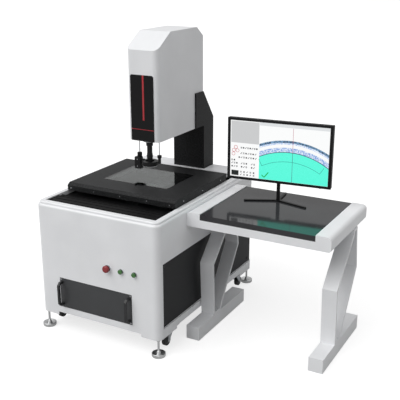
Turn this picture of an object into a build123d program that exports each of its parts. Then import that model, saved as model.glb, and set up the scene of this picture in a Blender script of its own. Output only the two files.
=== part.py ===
from build123d import *
import math
import os

os.makedirs("parts", exist_ok=True)

# Every length is in millimetres.
# Places are counted from the cabinet's front left corner at floor height:
# x runs to the right, y runs to the back, z runs up.

# Cabinet
CAB_W = 800.0
CAB_D = 1154.0
CAB_TOP = 770.0
LEG_Z = 100.0
SKIRT_Z = 118.0
WALL = 4.0
CORNER_R = 40.0
RIM_STEP_Z = 758.0
RIM_LOW_R = 16.0
RIM_INSET = 9.0
RIM_TOP_R = 8.0
RIM_INNER_R = 34.0
LEG_FRONT = 120.0
LEG_SIDE = 180.0
WELL_X = (40.0, CAB_W - 40)
WELL_Y = (42.0, CAB_D - 164)
LIP = 4.0
LIP_Z = 745.0
PANEL_Z = (156.0, 532.0)
PANEL_RECESS = 12.0
PANEL_T = 3.0
RETURN_T = 4.0

# Levelling feet and casters
FOOT_INSET = 25.0
PAD_R = 38.0
STUD_R = 6.0
CASTER_X = 40.0
CASTER_Y = 160.0
CASTER_TRAIL = 32.0
WHEEL_R = 30.0
WHEEL_W = 26.0
WHEEL_GAP = 12.0
AXLE_R = 4.0
KINGPIN_R = 6.0

# Rack computer
PC_X = CAB_W / 2 - 15.4
PC_W = 482.6
PC_Z = (158.0, 335.0)
PC_CASE_W = 430.0
PC_CASE_D = 450.0
PC_CASE_Z = (162.0, 331.0)
PC_PANEL_T = 3.0
HANDLE_REACH = 42.0

# Push buttons
ESTOP_XZ = (CAB_W / 2 + 78, 463.0)
GREEN_XZ = ((CAB_W / 2 + 164, 461.0), (CAB_W / 2 + 250, 461.0))
BUTTON_SHAFT_R = 8.0
BUTTON_SLEEVE_R = 11.0

# Granite base, column and head
GRANITE_Z = (600.0, 690.0)
GRANITE_X = (46.0, CAB_W - 46)
GRANITE_Y = (100.0, CAB_D - 6)
AXIS_X = CAB_W / 2 + 2
COLUMN_MID = CAB_W / 2 + 4
COLUMN_X = (COLUMN_MID - 110, COLUMN_MID + 110)
COLUMN_FRONT = CAB_D - 137
COLUMN_BACK = CAB_D - 12
NECK_Y = COLUMN_FRONT - 100
NECK_X = (COLUMN_MID - 98, COLUMN_MID + 94)
NECK_Z = 1049.0
SHOULDER_Z = 1265.0
COLUMN_TOP = 1600.0
HEAD_X = (COLUMN_MID - 105, COLUMN_MID + 101)
HEAD_FRONT = NECK_Y - 424
HEAD_Z = (1048.0, 1656.0)
HEAD_SHELL = 3.0
HEAD_CORNER_R = 35.0

# Stage
STAGE_X = WELL_X
STAGE_Y = (WELL_Y[0] + 198, WELL_Y[1] - 145)
AXIS_Y = NECK_Y - 357
STAGE_Z = (772.0, 815.0)
SKIN_Z = 803.0
GLASS_X = (STAGE_X[0] + 135, STAGE_X[1] - 153)
GLASS_Y = (STAGE_Y[0] + 168, STAGE_Y[1] - 122)
GLASS_T = 6.0
NOTCH_R = 34.0
NOTCH_X = (GLASS_X[0] + GLASS_X[1]) / 2 + 40
SADDLE_Z = (722.0, 745.0)
SADDLE_X = (STAGE_X[0] + 70, STAGE_X[1] - 66)
SADDLE_Y = (STAGE_Y[0] + 60, STAGE_Y[1] - 55)
X_RAIL_Y = (STAGE_Y[0] + 125, STAGE_Y[1] - 80)
X_BLOCK_X = ((AXIS_X - 140, AXIS_X - 70), (AXIS_X + 70, AXIS_X + 140))
Y_RAIL_X = (SADDLE_X[0] + 40, SADDLE_X[1] - 40)
Y_RAIL_Y = (WELL_Y[0] + 108, WELL_Y[1] - 40)
RAIL_HALF = 10.0
SCREW_R = 7.0
Y_SCREW_XZ = (SADDLE_X[0] + 100, 706.0)
X_SCREW_YZ = (STAGE_Y[1] - 30, 740.0)
X_SCREW_X = (SADDLE_X[0] + 40, SADDLE_X[1] - 34)
Z_SCREW_XY = (COLUMN_MID, NECK_Y - 24)
Z_RAIL_X = (COLUMN_MID - 64, COLUMN_MID + 64)

# Optics and ring light
LENS_R = 16.0
ROD_X = (AXIS_X - 70, AXIS_X + 66)
ROD_R = 3.0
ARM_Z = (1130.0, 1160.0)

# Desk
DESK_X = (CAB_W, CAB_W + 818)
DESK_Y = (291.0, 877.0)
ARM_TOP = 748.0
DESK_LOW = 669.0
SLAB_X = (DESK_X[0] + 82, DESK_X[1] - 83)
SLAB_Z = (714.0, 744.0)
FOOT_BAR_X = ((DESK_X[0] + 8, DESK_X[0] + 88), (DESK_X[1] - 81, DESK_X[1] - 1))
FOOT_BAR_Y = (271.0, 853.0)
FOOT_BAR_H = 80.0
LEG_W = 82.0
LEG_PLATE = 14.0

# Monitor
MON_AT = (DESK_X[0] + 357, 690.0)
MON_YAW = 5.65
MON_HALF = 299.3
MON_Z = (853.0, 1205.0)
MON_T = 14.0
BEZEL_SIDE = 17.0
BEZEL_TOP = 14.0
BEZEL_LOW = 15.0
TILT_V = 22.0
TILT_Z = 1020.0

# Clearances
RUN = 0.05
AIR = 0.3

# The model's own origin is the middle of the footprint, on the floor
X_LOW = FOOT_INSET - PAD_R
X_MID = (X_LOW + DESK_X[1]) / 2
Y_HIGH = CAB_D - FOOT_INSET + PAD_R
Y_MID = (Y_HIGH - HANDLE_REACH) / 2
CORNER = (-X_MID, -Y_MID, 0)
FLOOR = Plane(origin=CORNER)
FRONT = Plane(origin=CORNER, x_dir=(1, 0, 0), z_dir=(0, -1, 0))
SIDE = Plane(origin=CORNER, x_dir=(0, 1, 0), z_dir=(1, 0, 0))

# The monitor's own frame: u along its width, v to its back
YAW = math.radians(MON_YAW)
U_DIR = (math.cos(YAW), math.sin(YAW), 0)
V_DIR = (-math.sin(YAW), math.cos(YAW), 0)
MON_ORIGIN = (MON_AT[0] - X_MID, MON_AT[1] - Y_MID, 0)
MON = Plane(origin=MON_ORIGIN, x_dir=U_DIR, z_dir=(0, 0, 1))
MON_SIDE = Plane(origin=MON_ORIGIN, x_dir=V_DIR, z_dir=U_DIR)


def block(x, y, z, mode=Mode.ADD, base=FLOOR):
    """Upright box between two x, two y and two z values."""
    with BuildSketch(base.offset(z[0])) as plan:
        with Locations(((x[0] + x[1]) / 2, (y[0] + y[1]) / 2)):
            Rectangle(x[1] - x[0], y[1] - y[0])
    extrude(to_extrude=plan.sketch, amount=z[1] - z[0], mode=mode)


def post(x, y, radius, z, mode=Mode.ADD):
    """Upright cylinder."""
    with BuildSketch(FLOOR.offset(z[0])) as disc:
        with Locations((x, y)):
            Circle(radius)
    extrude(to_extrude=disc.sketch, amount=z[1] - z[0], mode=mode)


def bar_x(y, z, radius, x, mode=Mode.ADD, base=SIDE):
    """Cylinder that lies along x."""
    with BuildSketch(base.offset(x[0])) as disc:
        with Locations((y, z)):
            Circle(radius)
    extrude(to_extrude=disc.sketch, amount=x[1] - x[0], mode=mode)


def bar_y(x, z, radius, y, mode=Mode.ADD):
    """Cylinder that lies along y."""
    with BuildSketch(FRONT.offset(-y[1])) as disc:
        with Locations((x, z)):
            Circle(radius)
    extrude(to_extrude=disc.sketch, amount=y[1] - y[0], mode=mode)


def side_profile(points, x, mode=Mode.ADD):
    """Outline of y and z values, drawn out along x."""
    with BuildSketch(SIDE.offset(x[0])) as outline:
        Polygon(*points, align=None)
    extrude(to_extrude=outline.sketch, amount=x[1] - x[0], mode=mode)


def turned(points, x, y):
    """Outline of radii and heights, turned about an upright axis."""
    axis_plane = Plane(origin=(x - X_MID, y - Y_MID, 0), x_dir=(1, 0, 0), z_dir=(0, -1, 0))
    with BuildSketch(axis_plane) as outline:
        Polygon(*points, align=None)
    revolve(profiles=outline.sketch, axis=Axis(axis_plane.origin, (0, 0, 1)))


def mirrored(low, high):
    """The same two x values on the cabinet's other side."""
    return (CAB_W - high, CAB_W - low)


def finish(part, name):
    part.label = name
    export_step(part, "parts/" + name + ".step")


# Cabinet: the air inside it, less the folded returns that hold the side panels
panel_in = CAB_W - PANEL_RECESS - PANEL_T
with BuildPart() as cabinet_air:
    with BuildSketch(FLOOR.offset(LEG_Z)):
        with Locations((CAB_W / 2, CAB_D / 2)):
            RectangleRounded(CAB_W - 2 * WALL, CAB_D - 2 * WALL, CORNER_R - WALL)
    extrude(amount=CAB_TOP - WALL - LEG_Z)
    fillet(cabinet_air.faces().sort_by(Axis.Z)[-1].edges(), RIM_INNER_R)
    fold_x = (panel_in - RETURN_T, CAB_W)
    fold_y = (WELL_Y[0] - RETURN_T, CAB_D)
    for span in (fold_x, mirrored(*fold_x)):
        block(span, (fold_y[0], WELL_Y[0]), (PANEL_Z[0] - RETURN_T, PANEL_Z[1] + RETURN_T), Mode.SUBTRACT)
        block(span, fold_y, (PANEL_Z[0] - RETURN_T, PANEL_Z[0]), Mode.SUBTRACT)
        block(span, fold_y, (PANEL_Z[1], PANEL_Z[1] + RETURN_T), Mode.SUBTRACT)
    lip_x = (WELL_X[0] - LIP, WELL_X[1] + LIP)
    lip_y = (WELL_Y[0] - LIP, WELL_Y[1] + LIP)
    block(lip_x, lip_y, (LIP_Z, CAB_TOP), Mode.SUBTRACT)
    block(WELL_X, WELL_Y, (LIP_Z, CAB_TOP), Mode.ADD)

REAR_DOOR_X = (140.0, CAB_W - 140)
REAR_DOOR_Z = (200.0, 560.0)
PC_GAP = 1.5
with BuildPart() as cabinet_shell:
    with BuildSketch(FLOOR.offset(LEG_Z)):
        with Locations((CAB_W / 2, CAB_D / 2)):
            RectangleRounded(CAB_W, CAB_D, CORNER_R)
    extrude(amount=RIM_STEP_Z - LEG_Z)
    fillet(cabinet_shell.faces().sort_by(Axis.Z)[-1].edges(), RIM_LOW_R)
    with BuildSketch(FLOOR.offset(LIP_Z)):
        with Locations((CAB_W / 2, CAB_D / 2)):
            RectangleRounded(CAB_W - 2 * RIM_INSET, CAB_D - 2 * RIM_INSET, CORNER_R - RIM_INSET)
    extrude(amount=CAB_TOP - LIP_Z)
    fillet(cabinet_shell.faces().sort_by(Axis.Z)[-1].edges(), RIM_TOP_R)
    add(cabinet_air.part, mode=Mode.SUBTRACT)
    through_front = (-1.0, WALL + 1)
    through_back = (CAB_D - WALL - 1, CAB_D + 1)
    between_legs = (LEG_FRONT, CAB_W - LEG_FRONT)
    below = (LEG_Z - 1, SKIRT_Z)
    block(between_legs, through_front, below, Mode.SUBTRACT)
    block(between_legs, through_back, below, Mode.SUBTRACT)
    block((-1, CAB_W + 1), (LEG_SIDE, CAB_D - LEG_SIDE), below, Mode.SUBTRACT)
    recess = (panel_in, CAB_W + 1)
    for span in (recess, mirrored(*recess)):
        block(span, (WELL_Y[0], CAB_D + 1), PANEL_Z, Mode.SUBTRACT)
    pc_x = (PC_X - PC_W / 2 - PC_GAP, PC_X + PC_W / 2 + PC_GAP)
    block(pc_x, through_front, (PC_Z[0] - PC_GAP, PC_Z[1] + PC_GAP), Mode.SUBTRACT)
    block(REAR_DOOR_X, through_back, REAR_DOOR_Z, Mode.SUBTRACT)
    for x, z in (ESTOP_XZ,) + GREEN_XZ:
        bar_y(x, z, BUTTON_SLEEVE_R + RUN, through_front, Mode.SUBTRACT)
    column_hole_x = (COLUMN_X[0] - 2, COLUMN_X[1] + 2)
    block(column_hole_x, (COLUMN_FRONT - 3, COLUMN_BACK + 4), (LIP_Z, CAB_TOP + 1), Mode.SUBTRACT)
    block(WELL_X, WELL_Y, (LIP_Z, CAB_TOP + 1), Mode.SUBTRACT)
finish(cabinet_shell.part, "cabinet_shell")

# Dark side panels, set back between the folds
with BuildPart() as side_panels:
    panel_x = (panel_in, panel_in + PANEL_T)
    for span in (panel_x, mirrored(*panel_x)):
        block(span, (WELL_Y[0], CAB_D - 15), PANEL_Z)
finish(side_panels.part, "side_panels")

# Rear panel with air slots, held against the inside of the back wall
REAR_EDGE = 20.0
SLOT_X = (REAR_DOOR_X[0] + 40, REAR_DOOR_X[1] - 160)
INLET_XZ = (REAR_DOOR_X[1] - 76, 265.0)
with BuildPart() as rear_panel:
    rear_y = (CAB_D - WALL - PANEL_T, CAB_D - WALL)
    rear_x = (REAR_DOOR_X[0] - REAR_EDGE, REAR_DOOR_X[1] + REAR_EDGE)
    block(rear_x, rear_y, (REAR_DOOR_Z[0] - REAR_EDGE, REAR_DOOR_Z[1] + REAR_EDGE))
    with BuildSketch(FRONT.offset(-rear_y[1])):
        with Locations((sum(SLOT_X) / 2, sum(REAR_DOOR_Z) / 2)):
            with GridLocations(0, 24, 1, 10):
                SlotOverall(SLOT_X[1] - SLOT_X[0], 8)
    extrude(amount=PANEL_T, mode=Mode.SUBTRACT)
    inlet_x = (INLET_XZ[0] - 14, INLET_XZ[0] + 14)
    inlet_z = (INLET_XZ[1] - 12, INLET_XZ[1] + 12)
    block(inlet_x, rear_y, inlet_z, Mode.SUBTRACT)
finish(rear_panel.part, "rear_panel")

# Mains inlet in the rear panel
with BuildPart() as power_inlet:
    block(inlet_x, (rear_y[0] - 30, rear_y[1]), inlet_z)
    flange_x = (inlet_x[0] - 9, inlet_x[1] + 9)
    block(flange_x, (rear_y[1], rear_y[1] + 2.5), (inlet_z[0] - 5, inlet_z[1] + 5))
    block((inlet_x[0] + 2, inlet_x[1] - 2), (rear_y[1] - 18, rear_y[1] + 3), (inlet_z[0] + 3, inlet_z[1] - 3),
          Mode.SUBTRACT)
    for shift in (-7.0, 0.0, 7.0):
        pin_x = (INLET_XZ[0] + shift - 1, INLET_XZ[0] + shift + 1)
        block(pin_x, (rear_y[1] - 18, rear_y[1] - 2), (INLET_XZ[1] - 3, INLET_XZ[1] + 3))
finish(power_inlet.part, "power_inlet")

# Welded base frame with posts, rack runners, caster plates and kingpins
TUBE = 30.0
FRAME_Z = (SKIRT_Z, SKIRT_Z + TUBE)
POST_X = ((50.0, 100.0), (CAB_W - 100, CAB_W - 50))
POST_Y = ((145.0, 195.0), (CAB_D - 159, CAB_D - 109))
MOUNT_H = 40.0
RUNNER_BACK = 570.0
CASE_X = (PC_X - PC_CASE_W / 2, PC_X + PC_CASE_W / 2)
RUNNER_X = ((CASE_X[0] - 9.6, CASE_X[0] + 20.4), (CASE_X[1] - 20.6, CASE_X[1] + 9.4))
CASTERS = {
    "front_left": (CASTER_X, CASTER_Y, -1),
    "front_right": (CAB_W - CASTER_X, CASTER_Y, -1),
    "back_left": (CASTER_X, CAB_D - CASTER_Y, 1),
    "back_right": (CAB_W - CASTER_X, CAB_D - CASTER_Y, 1),
}
with BuildPart() as base_frame:
    with BuildSketch(FLOOR.offset(FRAME_Z[0])):
        with Locations((CAB_W / 2, CAB_D / 2)):
            RectangleRounded(CAB_W - 2 * WALL, CAB_D - 2 * WALL, CORNER_R + WALL)
            Rectangle(CAB_W - 2 * WALL - 2 * TUBE, CAB_D - 2 * WALL - 2 * TUBE, mode=Mode.SUBTRACT)
    extrude(amount=TUBE)
    for y in POST_Y:
        block((WALL, CAB_W - WALL), y, FRAME_Z)
        for x in POST_X:
            block(x, y, (FRAME_Z[1], GRANITE_Z[0] - MOUNT_H))
    block((WALL, CAB_W - WALL), (RUNNER_BACK - TUBE, RUNNER_BACK), FRAME_Z)
    for x in RUNNER_X:
        block(x, (WALL, RUNNER_BACK), (FRAME_Z[1], PC_CASE_Z[0]))
    for x, y, way in CASTERS.values():
        block((x - 35, x + 35), (y - 55, y + 55), (SKIRT_Z - 8, SKIRT_Z + 4))
        post(x, y, KINGPIN_R, (SKIRT_Z - 26, SKIRT_Z))
finish(base_frame.part, "base_frame")

# Rubber isolation mounts between the posts and the granite
with BuildPart() as isolation_mounts:
    for x in POST_X:
        for y in POST_Y:
            post(sum(x) / 2, sum(y) / 2, 30, (GRANITE_Z[0] - MOUNT_H, GRANITE_Z[0]))
finish(isolation_mounts.part, "isolation_mounts")

with BuildPart() as granite_base:
    block(GRANITE_X, GRANITE_Y, GRANITE_Z)
finish(granite_base.part, "granite_base")

# Column: a hollow casting on a bolted foot, with a neck that carries the head
FLANGE_T = 16.0
COLUMN_WALL = 10.0
SLOPE_LOW_Z = 1087.0
hollow_y = (NECK_Y + COLUMN_WALL, COLUMN_FRONT + COLUMN_WALL)
with BuildPart() as column:
    side_profile(
        ((COLUMN_FRONT, GRANITE_Z[1]), (COLUMN_BACK, GRANITE_Z[1]), (COLUMN_BACK, SLOPE_LOW_Z),
         (COLUMN_FRONT - 5, SHOULDER_Z),
         (NECK_Y, SHOULDER_Z), (NECK_Y, NECK_Z), (COLUMN_FRONT, NECK_Z)), COLUMN_X)
    flange_y = (COLUMN_FRONT - 32, COLUMN_BACK + 2)
    block((COLUMN_X[0] - 40, COLUMN_X[1] + 40), flange_y, (GRANITE_Z[1], GRANITE_Z[1] + FLANGE_T))
    block(NECK_X, (NECK_Y, COLUMN_FRONT - 9), (SHOULDER_Z, COLUMN_TOP))
    side_profile(
        ((hollow_y[1], GRANITE_Z[1] - 1), (COLUMN_BACK - COLUMN_WALL, GRANITE_Z[1] - 1),
         (COLUMN_BACK - COLUMN_WALL, SLOPE_LOW_Z - 3), (COLUMN_FRONT - 10, SHOULDER_Z - COLUMN_WALL),
         (hollow_y[0], SHOULDER_Z - COLUMN_WALL), (hollow_y[0], NECK_Z + COLUMN_WALL),
         (hollow_y[1], NECK_Z + COLUMN_WALL)),
        (COLUMN_X[0] + COLUMN_WALL, COLUMN_X[1] - COLUMN_WALL), Mode.SUBTRACT)
    neck_hollow_z = (SHOULDER_Z - COLUMN_WALL - 5, COLUMN_TOP - COLUMN_WALL)
    block((NECK_X[0] + COLUMN_WALL, NECK_X[1] - COLUMN_WALL), (hollow_y[0], COLUMN_FRONT - 19), neck_hollow_z,
          Mode.SUBTRACT)
finish(column.part, "column")

# Head covers: a front shell open at the bottom and back, and a rear shell
HEAD_BREAK_Z = 1563.0
HEAD_BREAK_Y = HEAD_FRONT + 147
with BuildPart() as head_air:
    inner_front = HEAD_FRONT + HEAD_SHELL
    inner_x = (HEAD_X[0] + HEAD_SHELL, HEAD_X[1] - HEAD_SHELL)
    inner_top = HEAD_Z[1] - HEAD_SHELL
    side_profile(
        ((inner_front, HEAD_Z[0] - 1), (NECK_Y + 1, HEAD_Z[0] - 1), (NECK_Y + 1, inner_top),
         (HEAD_BREAK_Y + 1, inner_top), (inner_front, HEAD_BREAK_Z - 1.5)), inner_x)
    fillet(head_air.edges().filter_by(Axis.Z).sort_by(Axis.Y)[:2], HEAD_CORNER_R - HEAD_SHELL)
with BuildPart() as head_cover_front:
    side_profile(
        ((HEAD_FRONT, HEAD_Z[0]), (NECK_Y, HEAD_Z[0]), (NECK_Y, HEAD_Z[1]), (HEAD_BREAK_Y, HEAD_Z[1]),
         (HEAD_FRONT, HEAD_BREAK_Z)), HEAD_X)
    fillet(head_cover_front.edges().filter_by(Axis.Z).sort_by(Axis.Y)[:2], HEAD_CORNER_R)
    add(head_air.part, mode=Mode.SUBTRACT)
finish(head_cover_front.part, "head_cover_front")

REAR_TOP_Y = NECK_Y + 28
REAR_BACK_Y = NECK_Y + 103
REAR_BACK_Z = 1601.0
with BuildPart() as head_cover_rear:
    side_profile(
        ((NECK_Y, SHOULDER_Z), (REAR_BACK_Y, SHOULDER_Z), (REAR_BACK_Y, REAR_BACK_Z), (REAR_TOP_Y, HEAD_Z[1]),
         (NECK_Y, HEAD_Z[1])), HEAD_X)
    side_profile(
        ((NECK_Y - 1, SHOULDER_Z - 1), (REAR_BACK_Y - HEAD_SHELL, SHOULDER_Z - 1),
         (REAR_BACK_Y - HEAD_SHELL, REAR_BACK_Z - 1.5), (REAR_TOP_Y - 1, inner_top), (NECK_Y - 1, inner_top)),
        inner_x, Mode.SUBTRACT)
finish(head_cover_rear.part, "head_cover_rear")

TRIM_X = (HEAD_X[0] + 26, HEAD_X[1] - 27)
TRIM_Z = (HEAD_Z[0], 1426.0)
TRIM_T = 2.0
with BuildPart() as head_trim_panel:
    with BuildSketch(FRONT.offset(-HEAD_FRONT)):
        with Locations((sum(TRIM_X) / 2, sum(TRIM_Z) / 2)):
            Rectangle(TRIM_X[1] - TRIM_X[0], TRIM_Z[1] - TRIM_Z[0])
    extrude(amount=TRIM_T)
    fillet(head_trim_panel.edges().filter_by(Axis.Y).sort_by(Axis.Z)[-2:], 12)
finish(head_trim_panel.part, "head_trim_panel")

with BuildPart() as head_stripe:
    stripe_x = (TRIM_X[0] + 79.5, TRIM_X[0] + 90.5)
    block(stripe_x, (HEAD_FRONT - TRIM_T - 1, HEAD_FRONT - TRIM_T), (1170, TRIM_Z[1]))
finish(head_stripe.part, "head_stripe")

# Guide rails: two for the y axis on the granite, two for the z axis on the neck
Y_RAIL_TOP = 706.0
with BuildPart() as guide_rails:
    for x in Y_RAIL_X:
        block((x - RAIL_HALF, x + RAIL_HALF), Y_RAIL_Y, (GRANITE_Z[1], Y_RAIL_TOP))
    for x in Z_RAIL_X:
        block((x - 8, x + 8), (NECK_Y - 15, NECK_Y), (1060, 1590))
finish(guide_rails.part, "guide_rails")

# Motors and screw bearings that stand on the granite and on the neck
with BuildPart() as axis_motors:
    sx, sz = Y_SCREW_XZ
    for y in (Y_RAIL_Y[0] - 5, Y_RAIL_Y[1] - 5):
        block((sx - 20, sx + 20), (y, y + 20), (GRANITE_Z[1], 720))
        bar_y(sx, sz, SCREW_R + RUN, (y - 1, y + 21), Mode.SUBTRACT)
    block((sx - 16, sx + 16), (Y_RAIL_Y[1] + 20, Y_RAIL_Y[1] + 90), (GRANITE_Z[1], 722))
    zx, zy = Z_SCREW_XY
    for z in (1064.0, 1560.0):
        block((zx - 20, zx + 20), (zy - 15, NECK_Y), (z, z + 12))
        post(zx, zy, SCREW_R + RUN, (z - 1, z + 13), Mode.SUBTRACT)
    block((zx - 22, zx + 22), (zy - 22, NECK_Y), (1572, 1640))
finish(axis_motors.part, "axis_motors")

with BuildPart() as y_ballscrew:
    bar_y(sx, sz, SCREW_R, (Y_RAIL_Y[0] - 4, Y_RAIL_Y[1] + 18))
finish(y_ballscrew.part, "y_ballscrew")

with BuildPart() as z_ballscrew:
    post(zx, zy, SCREW_R, (1065, 1571))
finish(z_ballscrew.part, "z_ballscrew")

# Stepped cover in front of the stage, fixed in the cabinet's well
with BuildPart() as front_way_cover:
    step_y = STAGE_Y[0] - 90
    end_y = STAGE_Y[0] - 50
    side_profile(((WELL_Y[0], 752), (end_y, 752), (end_y, 757), (step_y, 757), (step_y, 764), (WELL_Y[0], 764)),
                 WELL_X)
finish(front_way_cover.part, "front_way_cover")

# Saddle: runs on the y rails and carries the stage's bearing blocks and its own cover plate
LIGHT_WELL_X = (AXIS_X - 62, AXIS_X + 62)
LIGHT_WELL_Y = (SADDLE_Y[0] + 45, SADDLE_Y[1] - 15)
X_RAIL_LOW = 785.0
BLOCK_TOP = 799.0
with BuildPart() as y_saddle:
    block(SADDLE_X, SADDLE_Y, SADDLE_Z)
    block((WELL_X[0] + 4, WELL_X[1] - 4), (STAGE_Y[0] - 45, LIGHT_WELL_Y[0]), (SADDLE_Z[1], SADDLE_Z[1] + 3))
    for x in Y_RAIL_X:
        for y in ((SADDLE_Y[0] + 20, SADDLE_Y[0] + 100), (SADDLE_Y[1] - 100, SADDLE_Y[1] - 20)):
            block((x - 25, x + 25), y, (694, SADDLE_Z[0]))
        slot_x = (x - RAIL_HALF - RUN, x + RAIL_HALF + RUN)
        block(slot_x, SADDLE_Y, (690, Y_RAIL_TOP + RUN), Mode.SUBTRACT)
    block((sx - 20, sx + 20), (SADDLE_Y[0] + 200, SADDLE_Y[0] + 260), (692, SADDLE_Z[0]))
    bar_y(sx, sz, SCREW_R + RUN, SADDLE_Y, Mode.SUBTRACT)
    block(LIGHT_WELL_X, LIGHT_WELL_Y, (SADDLE_Z[0] - 1, SADDLE_Z[1] + 4), Mode.SUBTRACT)
    for y in X_RAIL_Y:
        for x in X_BLOCK_X:
            block(x, (y - 20, y + 20), (SADDLE_Z[1], BLOCK_TOP))
        slot_y = (y - RAIL_HALF - RUN, y + RAIL_HALF + RUN)
        block((X_BLOCK_X[0][0], X_BLOCK_X[1][1]), slot_y, (X_RAIL_LOW - RUN, BLOCK_TOP + 1), Mode.SUBTRACT)
    ny, nz = X_SCREW_YZ
    for x in ((X_SCREW_X[0], X_SCREW_X[0] + 20), (X_SCREW_X[1] - 20, X_SCREW_X[1])):
        block(x, (SADDLE_Y[1] - 5, ny + 20), (SADDLE_Z[0], 760))
    bar_x(ny, nz, SCREW_R + RUN, (X_SCREW_X[0] - 1, X_SCREW_X[1] + 1), Mode.SUBTRACT)
finish(y_saddle.part, "y_saddle")

with BuildPart() as x_ballscrew:
    bar_x(ny, nz, SCREW_R, (X_SCREW_X[0] + 1, X_SCREW_X[1] - 1))
finish(x_ballscrew.part, "x_ballscrew")

with BuildPart() as x_motor:
    block((X_SCREW_X[1], X_SCREW_X[1] + 60), (ny - 18, ny + 18), (nz - 18, nz + 18))
finish(x_motor.part, "x_motor")

# Stage: a hollow plate with a rebated window, a finger pocket and the screw's nut
STAGE_WALL = 12.0
LEDGE = 12.0
BEVEL_Y = 20.0
BEVEL_Z = 14.0
with BuildPart() as stage_plate:
    block(STAGE_X, STAGE_Y, STAGE_Z)
    side_profile(
        ((STAGE_Y[0] - 1, STAGE_Z[1] - BEVEL_Z * (1 + 1 / BEVEL_Y)), (STAGE_Y[0] + BEVEL_Y, STAGE_Z[1]),
         (STAGE_Y[0] + BEVEL_Y, STAGE_Z[1] + 5), (STAGE_Y[0] - 1, STAGE_Z[1] + 5)), STAGE_X, Mode.SUBTRACT)
    block((STAGE_X[0] + STAGE_WALL, STAGE_X[1] - STAGE_WALL), (STAGE_Y[0] + STAGE_WALL, STAGE_Y[1] - STAGE_WALL),
          (STAGE_Z[0] - 1, SKIN_Z - 8), Mode.SUBTRACT)
    block((STAGE_X[0] + STAGE_WALL, STAGE_X[1] - STAGE_WALL), (STAGE_Y[0] + BEVEL_Y + 12, STAGE_Y[1] - STAGE_WALL),
          (SKIN_Z - 9, SKIN_Z), Mode.SUBTRACT)
    glass_z = (STAGE_Z[1] - GLASS_T, STAGE_Z[1])
    block(GLASS_X, GLASS_Y, (glass_z[0], glass_z[1] + 1), Mode.SUBTRACT)
    block((GLASS_X[0] + LEDGE, GLASS_X[1] - LEDGE), (GLASS_Y[0] + LEDGE, GLASS_Y[1] - LEDGE),
          (SKIN_Z - 1, glass_z[1] + 1), Mode.SUBTRACT)
    post(NOTCH_X, GLASS_Y[0], NOTCH_R, (glass_z[0] - 2, glass_z[1] + 1), Mode.SUBTRACT)
    block((AXIS_X - 22, AXIS_X + 22), (ny - 17, ny + 17), (nz - 15, SKIN_Z))
    bar_x(ny, nz, SCREW_R + RUN, (AXIS_X - 23, AXIS_X + 23), Mode.SUBTRACT)
finish(stage_plate.part, "stage_plate")

with BuildPart() as stage_glass:
    block((GLASS_X[0] + RUN, GLASS_X[1] - RUN), (GLASS_Y[0] + RUN, GLASS_Y[1] - RUN), glass_z)
    post(NOTCH_X, GLASS_Y[0], NOTCH_R, (glass_z[0] - 1, glass_z[1] + 1), Mode.SUBTRACT)
finish(stage_glass.part, "stage_glass")

with BuildPart() as x_rails:
    for y in X_RAIL_Y:
        block((STAGE_X[0] + 20, STAGE_X[1] - 18), (y - RAIL_HALF, y + RAIL_HALF), (X_RAIL_LOW, SKIN_Z))
finish(x_rails.part, "x_rails")

# Backlight under the glass, on the lens axis
with BuildPart() as backlight_housing:
    turned(((0, 690), (55, 690), (55, 700), (48, 700), (48, 760), (42 + RUN, 760), (42 + RUN, 752), (38, 752),
            (38, 706), (0, 706)), AXIS_X, AXIS_Y)
finish(backlight_housing.part, "backlight_housing")

with BuildPart() as backlight_diffuser:
    post(AXIS_X, AXIS_Y, 42, (752, 758))
finish(backlight_diffuser.part, "backlight_diffuser")

# Z carriage: plate with bearing blocks and nut, and the arm that holds the optics
PLATE_Y = (NECK_Y - 61, NECK_Y - 39)
PLATE_X = (COLUMN_MID - 80, COLUMN_MID + 80)
with BuildPart() as z_carriage:
    block(PLATE_X, PLATE_Y, (1120, 1330))
    for x in Z_RAIL_X:
        for z in ((1130, 1180), (1270, 1320)):
            block((x - 18, x + 18), (PLATE_Y[1], NECK_Y - 5), z)
        block((x - 8 - RUN, x + 8 + RUN), (NECK_Y - 15 - RUN, NECK_Y), (1120, 1330), Mode.SUBTRACT)
    block((zx - 20, zx + 20), (PLATE_Y[1], NECK_Y - 7), (1200, 1250))
    post(zx, zy, SCREW_R + RUN, (1199, 1251), Mode.SUBTRACT)
    block((PLATE_X[0] - 4, PLATE_X[1]), (AXIS_Y - 40, PLATE_Y[0]), ARM_Z)
    for x in ((PLATE_X[0], PLATE_X[0] + 10), (PLATE_X[1] - 10, PLATE_X[1])):
        side_profile(((AXIS_Y + 40, ARM_Z[1]), (PLATE_Y[0], ARM_Z[1]), (PLATE_Y[0], 1300)), x)
    post(AXIS_X, AXIS_Y, LENS_R + RUN, (ARM_Z[0] - 1, ARM_Z[1] + 1), Mode.SUBTRACT)
finish(z_carriage.part, "z_carriage")

CAMERA_Z = 1262.0
with BuildPart() as camera_body:
    block((AXIS_X - 32, AXIS_X + 32), (AXIS_Y - 32, AXIS_Y + 32), (CAMERA_Z, CAMERA_Z + 78))
    chamfer(camera_body.edges().filter_by(Axis.Z), 3)
finish(camera_body.part, "camera_body")

BARREL_LOW = 1028.0
ZOOM_LOW = 1008.0
with BuildPart() as lens_barrel:
    turned(((0, BARREL_LOW), (LENS_R, BARREL_LOW), (LENS_R, ARM_Z[1]), (24, ARM_Z[1]), (24, 1230), (20, 1236),
            (20, CAMERA_Z), (0, CAMERA_Z)), AXIS_X, AXIS_Y)
finish(lens_barrel.part, "lens_barrel")

with BuildPart() as lens_flange:
    bore = LENS_R + RUN
    turned(((bore, 1034), (36, 1034), (36, 1044), (20, 1044), (20, ARM_Z[0]), (bore, ARM_Z[0])), AXIS_X, AXIS_Y)
finish(lens_flange.part, "lens_flange")

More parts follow.
